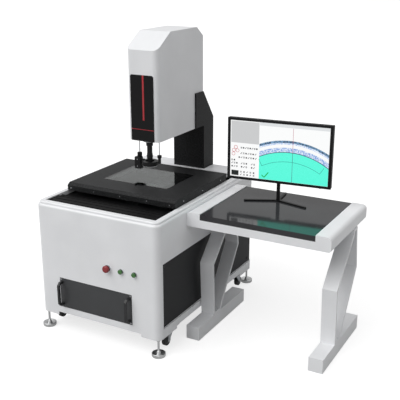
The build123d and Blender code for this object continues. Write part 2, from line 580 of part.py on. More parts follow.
NECK_R = 13.0
with BuildPart() as objective_lens:
    turned(((0, 901), (11, 901), (11, 899), (14, 899), (14, 926), (17, 932), (17, 958), (15.5, 966),
            (15.5, ZOOM_LOW - AIR), (NECK_R, ZOOM_LOW - AIR), (NECK_R, BARREL_LOW), (0, BARREL_LOW)),
           AXIS_X, AXIS_Y)
finish(objective_lens.part, "objective_lens")

with BuildPart() as zoom_ring:
    bore = NECK_R + RUN
    turned(((bore, ZOOM_LOW), (19, ZOOM_LOW), (20, ZOOM_LOW + 1), (20, BARREL_LOW - 1.3), (19, BARREL_LOW - AIR),
            (bore, BARREL_LOW - AIR)), AXIS_X, AXIS_Y)
finish(zoom_ring.part, "zoom_ring")

# Ring light on two rods
with BuildPart() as light_rods:
    post(ROD_X[0], AXIS_Y, ROD_R, (870, ARM_Z[0]))
    post(ROD_X[1], AXIS_Y, ROD_R, (909, ARM_Z[0]))
finish(light_rods.part, "light_rods")

with BuildPart() as ring_light_slider:
    post(AXIS_X, AXIS_Y, 48, (905, 917))
    block((ROD_X[0] - 28, ROD_X[0] + 12), (AXIS_Y - 15, AXIS_Y + 15), (862, 932))
    block((ROD_X[0] + 8, ROD_X[0] + 30), (AXIS_Y - 9, AXIS_Y + 9), (905, 922))
    block((ROD_X[1] - 24, ROD_X[1] - 2), (AXIS_Y - 7, AXIS_Y + 7), (909, 917))
    post(ROD_X[1], AXIS_Y, 9, (909, 943))
    post(AXIS_X, AXIS_Y, 28, (904, 923), Mode.SUBTRACT)
    for x in ROD_X:
        post(x, AXIS_Y, ROD_R + RUN, (861, 944), Mode.SUBTRACT)
finish(ring_light_slider.part, "ring_light_slider")

with BuildPart() as ring_light_knobs:
    post(ROD_X[0], AXIS_Y, 14, (932, 960))
    post(ROD_X[1], AXIS_Y, 13, (943, 957))
    for x in ROD_X:
        post(x, AXIS_Y, ROD_R + RUN, (931, 961), Mode.SUBTRACT)
finish(ring_light_knobs.part, "ring_light_knobs")

with BuildPart() as ring_light_housing:
    turned(((26, 891), (46, 891), (48, 893), (48, 905), (26, 905)), AXIS_X, AXIS_Y)
finish(ring_light_housing.part, "ring_light_housing")

with BuildPart() as ring_light_diffuser:
    turned(((28, 888), (44, 888), (44, 891), (28, 891)), AXIS_X, AXIS_Y)
finish(ring_light_diffuser.part, "ring_light_diffuser")

# Push buttons: sleeves with nuts behind the wall, and the parts that are pressed
with BuildPart() as button_sleeves:
    for (x, z), ring_r, ring_y in ((ESTOP_XZ, 19.0, -8.0), (GREEN_XZ[0], 15.0, -6.0), (GREEN_XZ[1], 15.0, -6.0)):
        bar_y(x, z, ring_r, (ring_y, 0))
        bar_y(x, z, BUTTON_SLEEVE_R, (0, 30))
        bar_y(x, z, 15, (WALL, WALL + 5))
        bar_y(x, z, BUTTON_SHAFT_R + RUN, (ring_y - 1, 31), Mode.SUBTRACT)
finish(button_sleeves.part, "button_sleeves")

with BuildPart() as estop_button:
    bar_y(ESTOP_XZ[0], ESTOP_XZ[1], BUTTON_SHAFT_R, (-20, 24))
    bar_y(ESTOP_XZ[0], ESTOP_XZ[1], 20, (-30, -14))
    fillet(estop_button.faces().sort_by(Axis.Y)[0].edges(), 8)
    fillet(estop_button.edges().filter_by(GeomType.CIRCLE).sort_by(SortBy.RADIUS)[-1], 2)
finish(estop_button.part, "estop_button")

for name, (x, z) in (("start_button", GREEN_XZ[0]), ("lamp_button", GREEN_XZ[1])):
    with BuildPart() as green_button:
        bar_y(x, z, BUTTON_SHAFT_R, (-12, 24))
        bar_y(x, z, 13, (-15, -10))
        fillet(green_button.faces().sort_by(Axis.Y)[0].edges(), 2)
    finish(green_button.part, name)

# Rack computer: case, front panel and two pull handles
with BuildPart() as rack_pc_case:
    block(CASE_X, (PC_PANEL_T, PC_PANEL_T + PC_CASE_D), PC_CASE_Z)
    block((CASE_X[0] + 2, CASE_X[1] - 2), (PC_PANEL_T + 2, PC_PANEL_T + PC_CASE_D - 2),
          (PC_CASE_Z[0] + 2, PC_CASE_Z[1] - 2), Mode.SUBTRACT)
finish(rack_pc_case.part, "rack_pc_case")

with BuildPart() as rack_pc_panel:
    block((PC_X - PC_W / 2, PC_X + PC_W / 2), (0, PC_PANEL_T), PC_Z)
finish(rack_pc_panel.part, "rack_pc_panel")

HANDLE_W = 13.0
with BuildPart() as rack_pc_handles:
    for x in (PC_X - PC_W / 2 + 16, PC_X + PC_W / 2 - 16):
        span = (x - HANDLE_W / 2, x + HANDLE_W / 2)
        side_profile(((0, 318), (-28, 318), (-HANDLE_REACH, 303), (-HANDLE_REACH, 190), (-28, 175), (0, 175)), span)
        side_profile(((1, 306), (-25, 306), (-30, 300), (-30, 193), (-25, 187), (1, 187)), span, Mode.SUBTRACT)
finish(rack_pc_handles.part, "rack_pc_handles")

# Levelling feet: dished pad, boss and stud
with BuildPart() as levelling_feet:
    for x in (FOOT_INSET, CAB_W - FOOT_INSET):
        for y in (FOOT_INSET, CAB_D - FOOT_INSET):
            turned(((0, 0), (36, 0), (PAD_R, 4), (PAD_R, 18), (35, 20), (30, 19), (14, 12), (12, 22), (8, 30),
                    (STUD_R, 32), (STUD_R, SKIRT_Z), (0, SKIRT_Z)), x, y)
finish(levelling_feet.part, "levelling_feet")

# Swivel casters: fork and wheel
CHEEK_T = 4.0
CHEEK_GAP = 1.0
wheel_z = WHEEL_GAP + WHEEL_R
for place, (x, y, way) in CASTERS.items():
    axle_y = y + way * CASTER_TRAIL
    with BuildPart() as fork:
        post(x, y, 24, (96, SKIRT_Z - 8 - AIR))
        cheek_in = WHEEL_W / 2 + CHEEK_GAP
        outline = [(y - way * 18, 98), (y - way * 18, 92), (axle_y + way * -6, 34), (axle_y + way * 8, 34),
                   (axle_y + way * 8, 52), (y + way * 18, 98)]
        if way < 0:
            outline.reverse()
        for span in ((x - cheek_in - CHEEK_T, x - cheek_in), (x + cheek_in, x + cheek_in + CHEEK_T)):
            side_profile(outline, span)
        bar_x(axle_y, wheel_z, AXLE_R, (x - cheek_in - CHEEK_T, x + cheek_in + CHEEK_T))
        post(x, y, KINGPIN_R + RUN, (90, SKIRT_Z), Mode.SUBTRACT)
    finish(fork.part, "caster_fork_" + place)
    with BuildPart() as wheel:
        bar_x(axle_y, wheel_z, WHEEL_R, (x - WHEEL_W / 2, x + WHEEL_W / 2))
        fillet(wheel.edges(), 5)
        bar_x(axle_y, wheel_z, AXLE_R + RUN, (x - WHEEL_W / 2, x + WHEEL_W / 2), Mode.SUBTRACT)
    finish(wheel.part, "caster_wheel_" + place)

# Desk: two arms and a front bar in one frame, open underneath
with BuildPart() as desk_frame:
    arms = ((DESK_X[0], SLAB_X[0]), (SLAB_X[1], DESK_X[1]))
    for x in arms:
        block(x, DESK_Y, (DESK_LOW, ARM_TOP))
    for face, outer in ((desk_frame.faces().sort_by(Axis.X)[0], 22), (desk_frame.faces().sort_by(Axis.X)[-1], 24)):
        along = face.edges().filter_by(Axis.Y).sort_by(Axis.Z)
        fillet(along[-1], outer)
    low_edges = desk_frame.edges().filter_by(Axis.Y).group_by(Axis.Z)[0].sort_by(Axis.X)
    fillet([low_edges[0], low_edges[-1]], 12)
    block(SLAB_X, (DESK_Y[0], DESK_Y[0] + 40), (DESK_LOW, SLAB_Z[0]))
    block(SLAB_X, (700, 740), (684, SLAB_Z[0]))
    for x in ((DESK_X[0] + 18, SLAB_X[0] - 4), (SLAB_X[1] + 4, DESK_X[1] - 18)):
        for y in ((DESK_Y[0] + 4, 640), (760, DESK_Y[1] - 4)):
            block(x, y, (DESK_LOW - 1, 730), Mode.SUBTRACT)
finish(desk_frame.part, "desk_frame")

with BuildPart() as desk_top:
    block(SLAB_X, DESK_Y, SLAB_Z)
finish(desk_top.part, "desk_top")

# Desk legs: an open frame of bent plate on a foot bar that is hollow underneath
LEG_BACK_Y = 728.0
LEG_TOP_Y = 668.0
LEG_OUTLINE = ((450, FOOT_BAR_H), (527, FOOT_BAR_H), (764, 420), (LEG_BACK_Y, 640), (LEG_BACK_Y, DESK_LOW),
               (LEG_TOP_Y, DESK_LOW), (LEG_TOP_Y, 640), (433, 402))
for name, bar_span in (("desk_leg_left", FOOT_BAR_X[0]), ("desk_leg_right", FOOT_BAR_X[1])):
    with BuildPart() as desk_leg:
        plate_x = (sum(bar_span) / 2 - LEG_W / 2, sum(bar_span) / 2 + LEG_W / 2)
        with BuildSketch(SIDE.offset(plate_x[0])) as ring:
            Polygon(*LEG_OUTLINE, align=None)
            offset(amount=-LEG_PLATE, kind=Kind.INTERSECTION, mode=Mode.REPLACE)
        side_profile(LEG_OUTLINE, plate_x)
        extrude(to_extrude=ring.sketch, amount=LEG_W, mode=Mode.SUBTRACT)
        block(bar_span, FOOT_BAR_Y, (0, FOOT_BAR_H))
        block((bar_span[0] + 5, bar_span[1] - 5), (FOOT_BAR_Y[0] + 5, FOOT_BAR_Y[1] - 5), (-1, FOOT_BAR_H - 6),
              Mode.SUBTRACT)
    finish(desk_leg.part, name)

# Monitor: housing with a recess for the screen, a rear hump and the tilt ears
with BuildPart() as monitor_housing:
    block((-MON_HALF, MON_HALF), (0, MON_T), MON_Z, base=MON)
    screen_u = (-MON_HALF + BEZEL_SIDE, MON_HALF - BEZEL_SIDE)
    screen_z = (MON_Z[0] + BEZEL_LOW, MON_Z[1] - BEZEL_TOP)
    block(screen_u, (-1, 3), screen_z, Mode.SUBTRACT, MON)
    block((-170, 170), (MON_T, 38), (1050, 1165), base=MON)
    for u in ((-34, -22), (22, 34)):
        block(u, (MON_T, TILT_V + 10), (TILT_Z - 12, TILT_Z + 12), base=MON)
    bar_x(TILT_V, TILT_Z, 4 + RUN, (-35, 35), Mode.SUBTRACT, MON_SIDE)
finish(monitor_housing.part, "monitor_housing")

with BuildPart() as monitor_screen:
    block(screen_u, (1, 3), screen_z, base=MON)
finish(monitor_screen.part, "monitor_screen")

BASE_T = 8.0
with BuildPart() as monitor_stand_post:
    block((-9, 9), (TILT_V - 6, TILT_V + 6), (SLAB_Z[1] + BASE_T, TILT_Z), base=MON)
    bar_x(TILT_V, TILT_Z, 7, (-21.5, 21.5), base=MON_SIDE)
    bar_x(TILT_V, TILT_Z, 4, (-34, 34), base=MON_SIDE)
finish(monitor_stand_post.part, "monitor_stand_post")

# Stand base: two splayed front legs and a short rear one
STAND_TIPS = ((-174, -65), (174, -65), (0, 140))
with BuildPart() as monitor_stand_base:
    with BuildSketch(MON.offset(SLAB_Z[1])):
        with Locations((0, TILT_V)):
            Circle(18)
        for u, v in STAND_TIPS:
            reach = math.hypot(u, v)
            with Locations((u / 2, TILT_V + v / 2)):
                SlotCenterToCenter(reach, 14, rotation=math.degrees(math.atan2(v, u)))
    extrude(amount=BASE_T)
finish(monitor_stand_base.part, "monitor_stand_base")
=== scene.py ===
import math

import bmesh
import bpy
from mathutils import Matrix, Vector


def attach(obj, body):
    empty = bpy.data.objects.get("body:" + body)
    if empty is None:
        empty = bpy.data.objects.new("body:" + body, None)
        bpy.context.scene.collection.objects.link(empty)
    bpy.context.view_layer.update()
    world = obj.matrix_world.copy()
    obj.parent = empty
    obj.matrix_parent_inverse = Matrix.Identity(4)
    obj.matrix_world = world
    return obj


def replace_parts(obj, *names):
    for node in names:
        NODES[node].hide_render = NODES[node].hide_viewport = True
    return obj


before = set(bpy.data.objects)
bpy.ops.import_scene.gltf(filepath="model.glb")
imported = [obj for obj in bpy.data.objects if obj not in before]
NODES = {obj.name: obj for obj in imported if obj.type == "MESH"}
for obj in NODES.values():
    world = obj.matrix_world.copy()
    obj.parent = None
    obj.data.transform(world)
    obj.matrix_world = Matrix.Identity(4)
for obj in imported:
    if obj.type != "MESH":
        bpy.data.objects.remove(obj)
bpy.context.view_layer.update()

# Places are in mm from the cabinet's front left corner on the floor.
# The row frame's origin lies this far to the right of that corner and this far behind it.
ORIGIN_X = 802.5
ORIGIN_Y = 562.5
# The monitor stands on the desk, turned a little towards the operator.
MONITOR_X = 1157.0
MONITOR_Y = 690.0
MONITOR_YAW = math.radians(5.65)


def place(x, y, z):
    """A point measured in mm from the cabinet's corner, in the row frame in metres."""
    return Vector(((x - ORIGIN_X) / 1000, (y - ORIGIN_Y) / 1000, z / 1000))


# Camera: long lens, from the front right and a little above, as in the photograph.
camera = bpy.data.objects.new("camera", bpy.data.cameras.new("camera"))
bpy.context.scene.collection.objects.link(camera)
camera.location = (1.8875, -3.5631, 2.0728)
camera.rotation_euler = (math.radians(71.668), 0, math.radians(28.754))
camera.data.sensor_width = 36
camera.data.lens = 67.153
bpy.context.scene.camera = camera
bpy.context.scene.view_settings.view_transform = "Standard"


def srgb(code):
    """An sRGB hex colour as linear RGBA."""
    parts = [int(code[i:i + 2], 16) / 255 for i in (1, 3, 5)]
    return [p / 12.92 if p <= 0.04045 else ((p + 0.055) / 1.055) ** 2.4 for p in parts] + [1.0]


def add_node(tree, kind, settings=None, values=None, links=None):
    """Adds one shader node with its settings, its sockets' constants and its links."""
    node = tree.nodes.new(kind)
    for key, value in (settings or {}).items():
        setattr(node, key, value)
    for socket, value in (values or {}).items():
        node.inputs[socket].default_value = value
    for socket, source in (links or {}).items():
        tree.links.new(source, node.inputs[socket])
    return node


def cells(mm):
    """The scale at which a noise or cell pattern on Object coordinates has cells of that size."""
    return 1000 / mm


def new_finish(name):
    """An empty material with its node tree."""
    finish = bpy.data.materials.new(name)
    finish.use_nodes = True
    finish.node_tree.nodes.clear()
    return finish, finish.node_tree


def surface(tree, values, colour, rough=None, bump=None, spread=(0.35, 0.65),
            coloured="Base Color"):
    """What every finish ends in: its sockets' constants, and what follows a pattern's value.

    The colour runs from low to high over the spread, and so does the roughness over all of the
    pattern. The bump has a strength and a depth in mm."""
    pattern, low, high = colour
    ramp = add_node(tree, "ShaderNodeValToRGB", links={"Fac": pattern})
    for stop, position, code in zip(ramp.color_ramp.elements, spread, (low, high)):
        stop.position = position
        stop.color = srgb(code)
    links = {coloured: ramp.outputs["Color"]}
    if rough:
        pattern, low, high = rough
        span = add_node(tree, "ShaderNodeMapRange", values={"To Min": low, "To Max": high},
                        links={"Value": pattern})
        links["Roughness"] = span.outputs["Result"]
    if bump:
        pattern, strength, depth_mm = bump
        relief = add_node(tree, "ShaderNodeBump",
                          values={"Strength": strength, "Distance": depth_mm / 1000},
                          links={"Height": pattern})
        links["Normal"] = relief.outputs["Normal"]
    shader = add_node(tree, "ShaderNodeBsdfPrincipled", values=values, links=links)
    add_node(tree, "ShaderNodeOutputMaterial", links={"Surface": shader.outputs["BSDF"]})


def powder_coat(name, colour, shade, rough=0.36, sheen=0.5, coat=0.12):
    """Steel sheet, powder coated and baked: even colour, soft sheen, faint orange peel."""
    finish, tree = new_finish(name)
    coords = add_node(tree, "ShaderNodeTexCoord").outputs["Object"]
    cloud = add_node(tree, "ShaderNodeTexNoise", values={"Scale": cells(240), "Detail": 3.0},
                     links={"Vector": coords}).outputs["Fac"]
    # Real orange peel is about 1.5 mm across; it is drawn at 3 mm so that it shows.
    peel = add_node(tree, "ShaderNodeTexNoise", values={"Scale": cells(3), "Detail": 1.5},
                    links={"Vector": coords}).outputs["Fac"]
    surface(tree, {"IOR": 1.5, "Specular IOR Level": sheen, "Coat Weight": coat,
                   "Coat Roughness": 0.2},
            colour=(cloud, shade, colour), rough=(cloud, rough - 0.04, rough + 0.06),
            bump=(peel, 0.35, 0.05))
    return finish


def wrinkle_coat(name, colour, shade):
    """Milled metal under a baked wrinkle coat: matt, its folds pale on top, and painted shade makes
    the hollows between them dark.
    """
    finish, tree = new_finish(name)
    coords = add_node(tree, "ShaderNodeTexCoord").outputs["Object"]
    # Real folds are about 1 mm apart; they are drawn 7 mm apart so that they show.
    folds_and_painted_shade = add_node(tree, "ShaderNodeTexNoise",
                     values={"Scale": cells(7), "Detail": 3.0, "Roughness": 0.6},
                     links={"Vector": coords}).outputs["Fac"]
    # The colour runs from painted shade in the folds' hollows up to the coat's own tone on their
    # tops.
    surface(tree, {"IOR": 1.5, "Specular IOR Level": 0.18},
            colour=(folds_and_painted_shade, shade, colour), spread=(0.4, 0.62), rough=(folds_and_painted_shade, 0.4, 0.58),
            bump=(folds_and_painted_shade, 0.5, 0.8))
    return finish


def anodised(name, colour, shade, rough, metallic=0.0, sheen=0.5, grain_axis=0):
    """Aluminium, turned or milled, then anodised: matt, with fine cutter marks in one direction."""
    finish, tree = new_finish(name)
    coords = add_node(tree, "ShaderNodeTexCoord").outputs["Object"]
    stretch = [1.0, 1.0, 1.0]
    stretch[grain_axis] = 0.06
    drawn = add_node(tree, "ShaderNodeMapping", values={"Scale": stretch},
                     links={"Vector": coords}).outputs["Vector"]
    # Cutter marks are under 0.3 mm apart; they are drawn 1.6 mm apart so that they show.
    marks = add_node(tree, "ShaderNodeTexNoise", values={"Scale": cells(1.6), "Detail": 2.0},
                     links={"Vector": drawn}).outputs["Fac"]
    cloud = add_node(tree, "ShaderNodeTexNoise", values={"Scale": cells(90), "Detail": 4.0},
                     links={"Vector": coords}).outputs["Fac"]
    surface(tree, {"Metallic": metallic, "Specular IOR Level": sheen},
            colour=(cloud, shade, colour), rough=(marks, rough - 0.06, rough + 0.1),
            bump=(marks, 0.18, 0.04))
    return finish


def bare_steel(name, colour, shade, rough, grain_axis=0):
    """Steel, ground or turned and left bright: sharp reflections drawn out along the grinding."""
    finish, tree = new_finish(name)
    coords = add_node(tree, "ShaderNodeTexCoord").outputs["Object"]
    stretch = [1.0, 1.0, 1.0]
    stretch[grain_axis] = 0.04
    drawn = add_node(tree, "ShaderNodeMapping", values={"Scale": stretch},
                     links={"Vector": coords}).outputs["Vector"]
    # Grinding scratches are finer than the picture can hold, so they are drawn 1.2 mm wide.
    marks = add_node(tree, "ShaderNodeTexNoise", values={"Scale": cells(1.2), "Detail": 3.0},
                     links={"Vector": drawn}).outputs["Fac"]
    surface(tree, {"Metallic": 1.0},
            colour=(marks, shade, colour), rough=(marks, rough - 0.06, rough + 0.08),
            bump=(marks, 0.12, 0.02))
    return finish


def rolled_thread(axis):
    """Steel screw with a rolled ball thread along that axis: its grooves darker and rougher than
    its crests.
    """
    finish, tree = new_finish(f"steel_ball_thread_{axis}")
    coords = add_node(tree, "ShaderNodeTexCoord").outputs["Object"]
    lead_mm = 10
    # A wave of scale 1 repeats every 2 pi / 20 of a unit, so this gives one band each turn.
    bands = add_node(tree, "ShaderNodeTexWave",
                     settings={"wave_type": "BANDS", "bands_direction": axis.upper()},
                     values={"Scale": math.pi / 10 * 1000 / lead_mm, "Distortion": 0.0},
                     links={"Vector": coords}).outputs["Fac"]
    surface(tree, {"Metallic": 1.0},
            colour=(bands, "#5d6063", "#c2c4c6"), rough=(bands, 0.38, 0.2), bump=(bands, 0.8, 1.2))
    return finish


def moulded(name, colour, shade, rough=0.45, sheen=0.5, coat=0.0):
    """Moulded plastic: even colour under a fine spark-eroded grain."""
    finish, tree = new_finish(name)
    coords = add_node(tree, "ShaderNodeTexCoord").outputs["Object"]
    # Mould grain is 0.2 to 0.5 mm; it is drawn at 1.5 mm so that it breaks up the highlights.
    grain = add_node(tree, "ShaderNodeTexNoise", values={"Scale": cells(1.5), "Detail": 2.0},
                     links={"Vector": coords}).outputs["Fac"]
    cloud = add_node(tree, "ShaderNodeTexNoise", values={"Scale": cells(60), "Detail": 2.0},
                     links={"Vector": coords}).outputs["Fac"]
    surface(tree, {"IOR": 1.49, "Specular IOR Level": sheen, "Coat Weight": coat,
                   "Coat Roughness": 0.08},
            colour=(cloud, shade, colour), rough=(grain, rough - 0.05, rough + 0.08),
            bump=(grain, 0.25, 0.05))
    return finish


def black_granite():
    """Fine-grained black granite, lapped: dark grey, pale and black flecks, a dull polish."""
    finish, tree = new_finish("granite_lapped_black")
    coords = add_node(tree, "ShaderNodeTexCoord").outputs["Object"]
    # Grains are 1 to 3 mm across in this stone.
    grains = add_node(tree, "ShaderNodeTexVoronoi", values={"Scale": cells(2.6)},
                      links={"Vector": coords}).outputs["Color"]
    flecks = add_node(tree, "ShaderNodeSeparateColor", links={"Color": grains}).outputs["Red"]
    surface(tree, {"IOR": 1.55},
            colour=(flecks, "#17181a", "#5b5d60"), spread=(0.45, 1.0), rough=(flecks, 0.24, 0.36))
    return finish


def float_glass():
    """Float glass: see-through, a little grey, with sharp reflections and the faintest smear."""
    finish, tree = new_finish("glass_float_clear")
    coords = add_node(tree, "ShaderNodeTexCoord").outputs["Object"]
    smear = add_node(tree, "ShaderNodeTexNoise", values={"Scale": cells(70), "Detail": 3.0},
                     links={"Vector": coords}).outputs["Fac"]
    surface(tree, {"IOR": 1.52, "Transmission Weight": 1.0},
            colour=(smear, "#8b9391", "#949c9a"), rough=(smear, 0.01, 0.035))
    return finish


def painted_glass():
    """Tempered glass, painted black on its back: near black, mirror gloss, slight wipe marks; its
    colour is lifted to dark grey as a painted reflection.
    """
    finish, tree = new_finish("glass_tempered_black")
    coords = add_node(tree, "ShaderNodeTexCoord").outputs["Object"]
    wipes = add_node(tree, "ShaderNodeTexNoise", values={"Scale": cells(140), "Detail": 4.0},
                     links={"Vector": coords}).outputs["Fac"]
    # The dark grey colour is a painted reflection standing in for part of the gloss; the glass
    # itself is near black.
    surface(tree, {"IOR": 1.5, "Specular IOR Level": 0.26},
            colour=(wipes, "#303032", "#363638"), rough=(wipes, 0.06, 0.12))
    return finish


def opal_acrylic():
    """Opal acrylic sheet: milky white, soft sheen, light passes into it and spreads."""
    finish, tree = new_finish("acrylic_opal")
    coords = add_node(tree, "ShaderNodeTexCoord").outputs["Object"]
    milk = add_node(tree, "ShaderNodeTexNoise", values={"Scale": cells(18), "Detail": 2.0},
                    links={"Vector": coords}).outputs["Fac"]
    # Light spreads about 4 mm into the sheet.
    surface(tree, {"IOR": 1.49, "Subsurface Weight": 0.3,
                   "Subsurface Radius": (0.004, 0.004, 0.004)},
            colour=(milk, "#dfe3e4", "#eef0f0"), rough=(milk, 0.28, 0.4))
    return finish


def zinc_plated():
    """Pressed steel, zinc plated: pale blue-grey metal with a faint spangle."""
    finish, tree = new_finish("steel_zinc_plated")
    coords = add_node(tree, "ShaderNodeTexCoord").outputs["Object"]
    # Spangle on thin plating is 5 to 10 mm across.
    spangle = add_node(tree, "ShaderNodeTexVoronoi", values={"Scale": cells(8)},
                       links={"Vector": coords}).outputs["Color"]
    flake = add_node(tree, "ShaderNodeSeparateColor", links={"Color": spangle}).outputs["Green"]
    surface(tree, {"Metallic": 1.0},
            colour=(flake, "#adb1b4", "#bbbfc2"), rough=(flake, 0.36, 0.41))
    return finish


def cast_rubber():
    """Moulded rubber: charcoal, matt, with a dusty bloom."""
    finish, tree = new_finish("rubber_moulded_black")
    coords = add_node(tree, "ShaderNodeTexCoord").outputs["Object"]
    bloom = add_node(tree, "ShaderNodeTexNoise", values={"Scale": cells(14), "Detail": 5.0},
                     links={"Vector": coords}).outputs["Fac"]
    surface(tree, {"IOR": 1.45},
            colour=(bloom, "#1b1b1b", "#2a2a29"), rough=(bloom, 0.6, 0.8), bump=(bloom, 0.2, 0.2))
    return finish


def lit_panel(name, colour, shade, cell_mm=3):
    """A lit liquid-crystal face behind a satin film: its own light, just broken up by its rows."""
    finish, tree = new_finish(name)
    coords = add_node(tree, "ShaderNodeTexCoord").outputs["Object"]
    # Pixels are 0.3 mm; their rows are drawn at 3 mm, and the speckle of a live edge at 7 mm.
    rows = add_node(tree, "ShaderNodeTexNoise", values={"Scale": cells(cell_mm), "Detail": 1.0},
                    links={"Vector": coords}).outputs["Fac"]
    surface(tree, {"Base Color": srgb("#0c0d0e"), "IOR": 1.49, "Roughness": 0.32,
                   "Emission Strength": 1.0},
            colour=(rows, shade, colour), coloured="Emission Color")
    return finish


WHITE = powder_coat("powder_coat_white", "#e6e7e9", "#e0e1e3")
DARK = powder_coat("powder_coat_charcoal", "#1d1e20", "#191a1c", rough=0.48, sheen=0.25, coat=0)
COVER_BLACK = powder_coat("powder_coat_cover_black", "#0c0c0d", "#09090a",
                          rough=0.5, sheen=0.12, coat=0)
PANEL_GREY = powder_coat("powder_coat_rack_grey", "#3f4042", "#3a3b3c",
                         rough=0.42, sheen=0.35, coat=0)
BLACK = powder_coat("powder_coat_black", "#0f0f10", "#0c0c0d", sheen=0.2, coat=0)
FRAME_GREY = powder_coat("powder_coat_frame_grey", "#8d9093", "#83868a", rough=0.45)
# The second colour of each wrinkle coat is painted shade for the hollows between its folds.
STAGE_GREY = wrinkle_coat("wrinkle_coat_stage", "#2b2c2d", "#0d0d0e")
COLUMN_GREY = wrinkle_coat("wrinkle_coat_column", "#292a2b", "#111112")
OPTIC_BLACK = anodised("aluminium_anodised_black", "#131314", "#0f0f10",
                       rough=0.36, sheen=0.35, grain_axis=2)
SATIN_ALU = anodised("aluminium_anodised_natural", "#a9acae", "#9fa2a4", rough=0.34, metallic=0.9)
RAIL_STEEL = bare_steel("steel_ground", "#c9cbcd", "#a7aaad", rough=0.2)
BRIGHT_STEEL = bare_steel("steel_turned_bright", "#d5d6d8", "#b5b7ba", rough=0.16, grain_axis=2)
FOOT_STEEL = bare_steel("steel_nickel_plated", "#d6d7d7", "#bcbdbe", rough=0.36, grain_axis=2)
SCREW_X = rolled_thread("x")
SCREW_Y = rolled_thread("y")
SCREW_Z = rolled_thread("z")
BLACK_ABS = moulded("abs_moulded_black", "#1d1e1f", "#18191a")
BEZEL_ABS = moulded("abs_moulded_bezel", "#131415", "#101112", rough=0.42, sheen=0.22)
RED_CAP = moulded("nylon_moulded_red", "#8c2428", "#7d1f23", rough=0.36, coat=0.25)
GREEN_CAP = moulded("polycarbonate_moulded_green", "#3e7236", "#35652e", rough=0.32, coat=0.3)
RED_ACRYLIC = moulded("acrylic_gloss_red", "#b3242e", "#a61f29", rough=0.3, coat=0.3)
GLOSS_BLACK = moulded("acrylic_gloss_black", "#09090a", "#070708", rough=0.2, sheen=0.25)
CASTER_NYLON = moulded("nylon_moulded_caster", "#232323", "#1b1b1b", rough=0.5)
RUBBER = cast_rubber()
GRANITE = black_granite()
GLASS = float_glass()
DESK_GLASS = painted_glass()
OPAL = opal_acrylic()
ZINC = zinc_plated()
SCREEN_WHITE = lit_panel("screen_lit_white", "#fafbfb", "#f6f7f7")

NODE_FINISHES = {
    WHITE: ["cabinet_shell", "head_cover_front", "head_cover_rear", "desk_frame",
            "desk_leg_left", "desk_leg_right"],
    DARK: ["side_panels", "rear_panel"],
    COLUMN_GREY: ["column"],
    BLACK: ["monitor_stand_base", "monitor_stand_post"],
    COVER_BLACK: ["front_way_cover", "y_saddle"],
    PANEL_GREY: ["rack_pc_panel"],
    FRAME_GREY: ["base_frame"],
    STAGE_GREY: ["stage_plate"],
    OPTIC_BLACK: ["camera_body", "lens_barrel", "objective_lens", "ring_light_housing",
                  "ring_light_knobs", "ring_light_slider", "zoom_ring", "z_carriage",
                  "axis_motors", "x_motor", "backlight_housing"],
    RAIL_STEEL: ["guide_rails", "x_rails"],
    SATIN_ALU: ["lens_flange"],
    BRIGHT_STEEL: ["light_rods", "button_sleeves"],
    FOOT_STEEL: ["levelling_feet"],
    SCREW_X: ["x_ballscrew"],
    SCREW_Y: ["y_ballscrew"],
    SCREW_Z: ["z_ballscrew"],
    BLACK_ABS: ["rack_pc_handles", "power_inlet"],
    BEZEL_ABS: ["monitor_housing"],
    GLOSS_BLACK: ["head_trim_panel"],
    RED_CAP: ["estop_button"],
    GREEN_CAP: ["start_button", "lamp_button"],
    RED_ACRYLIC: ["head_stripe"],
    CASTER_NYLON: ["caster_wheel_front_left", "caster_wheel_front_right",
                   "caster_wheel_back_left", "caster_wheel_back_right"],
    ZINC: ["rack_pc_case", "caster_fork_front_left", "caster_fork_front_right",
           "caster_fork_back_left", "caster_fork_back_right"],
    RUBBER: ["isolation_mounts"],
    GRANITE: ["granite_base"],
    GLASS: ["stage_glass"],
    DESK_GLASS: ["desk_top"],
    OPAL: ["ring_light_diffuser", "backlight_diffuser"],
    SCREEN_WHITE: ["monitor_screen"],
}
for finish, names in NODE_FINISHES.items():
    for name in names:
        NODES[name].data.materials.clear()
        NODES[name].data.materials.append(finish)


def by_ray(tree, matt, gloss, seen):
    """A strength by the kind of ray: for matt surfaces, for reflections, and to the eye or
    through glass."""
    path = add_node(tree, "ShaderNodeLightPath").outputs
    direct = add_node(tree, "ShaderNodeMath", settings={"operation": "MAXIMUM"},
                      links={0: path["Is Camera Ray"], 1: path["Is Transmission Ray"]})
    bounced = add_node(tree, "ShaderNodeMapRange", values={"To Min": matt, "To Max": gloss},
                       links={"Value": path["Is Glossy Ray"]})
    strength = add_node(tree, "ShaderNodeMapRange", values={"To Max": seen},
                        links={"Value": direct.outputs[0], "To Min": bounced.outputs["Result"]})
    return strength.outputs["Result"]


# Studio: white all round, a broad lamp from the front left and one overhead, and a pale floor.
scene = bpy.context.scene
world = bpy.data.worlds.new("studio")
world.use_nodes = True
world.node_tree.nodes.clear()
air = add_node(world.node_tree, "ShaderNodeBackground", values={"Color": (1, 1, 1, 1)},
               links={"Strength": by_ray(world.node_tree, matt=0.5, gloss=0.6, seen=1.0)})
add_node(world.node_tree, "ShaderNodeOutputWorld", links={"Surface": air.outputs["Background"]})
scene.world = world

# Each lamp has its power, the angle it fills in degrees, and the way from the object towards it.
LAMPS = {"key": (1.75, 50, (-0.35, -0.6, 0.72)), "top": (0.6, 90, (0.1, 0.1, 0.99))}
for lamp_name, (power, fills, towards) in LAMPS.items():
    lamp = bpy.data.objects.new(lamp_name, bpy.data.lights.new(lamp_name, "SUN"))
    lamp.data.energy = power
    lamp.data.angle = math.radians(fills)
    lamp.rotation_euler = Vector(towards).to_track_quat("Z", "Y").to_euler()
    scene.collection.objects.link(lamp)

